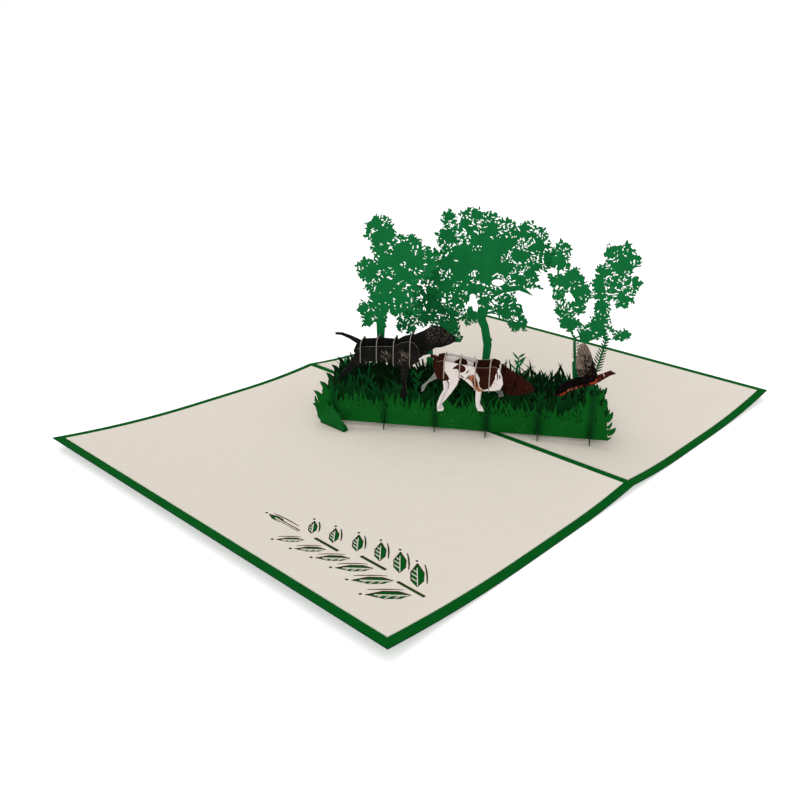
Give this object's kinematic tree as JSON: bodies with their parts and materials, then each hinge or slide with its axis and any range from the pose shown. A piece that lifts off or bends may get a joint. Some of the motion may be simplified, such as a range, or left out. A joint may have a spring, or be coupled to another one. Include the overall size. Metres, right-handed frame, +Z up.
{
  "type": "pop up card",
  "caption": "Folded card lying open, with a slotted paper lattice of grass, trees, dogs and a pheasant that stands up from the fold and folds flat with it.",
  "frame": {"origin": "middle of the opened card, on the table under it", "axes": "+X across the fold towards the right half, +Y along the fold, +Z up"},
  "size_m": [0.254, 0.178, 0.0874],
  "materials": {
    "cover_green": "matte card",
    "panel_cream": "matte paper",
    "grass_front": "matte paper",
    "grass_behind": "matte paper",
    "tree_green": "matte paper",
    "tree_dark": "matte paper",
    "cross_green": "matte paper",
    "black_card": "matte paper",
    "grey_card": "matte paper",
    "white_card": "matte paper",
    "brown_card": "matte paper",
    "bird_brown": "matte paper",
    "wing_brown": "matte paper",
    "wing_dark": "matte paper"
  },
  "bodies": {
    "root": {"cover": "cover_green", "liner_left": "panel_cream", "liner_right": "panel_cream", "anchor_flap_left": "grass_front", "anchor_flap_right": "grass_front", "grass_slat_front": "grass_front", "grass_slat_second": "grass_behind", "tree_slat_third": "tree_green", "tree_slat_fourth": "tree_green", "tree_slat_back": "tree_dark", "black_dog_near_panel": "black_card", "black_dog_middle_panel": "black_card", "black_dog_far_panel": "black_card", "white_dog_near_panel": "white_card", "white_dog_middle_panel": "brown_card", "white_dog_far_panel": "white_card", "pheasant_body": "bird_brown", "pheasant_raised_wing": "wing_brown", "pheasant_folded_wing": "wing_dark", "cross_slat_1": "cross_green", "cross_slat_2": "cross_green", "cross_slat_3": "cross_green", "cross_slat_4": "cross_green", "cross_slat_5": "cross_green", "cross_slat_6": "cross_green", "black_dog_rib_1": "grey_card", "white_dog_rib_1": "white_card", "black_dog_rib_2": "grey_card", "white_dog_rib_2": "white_card", "black_dog_rib_3": "grey_card", "white_dog_rib_3": "white_card", "black_dog_rib_4": "grey_card", "white_dog_rib_4": "white_card"}
  },
  "joints": []
}
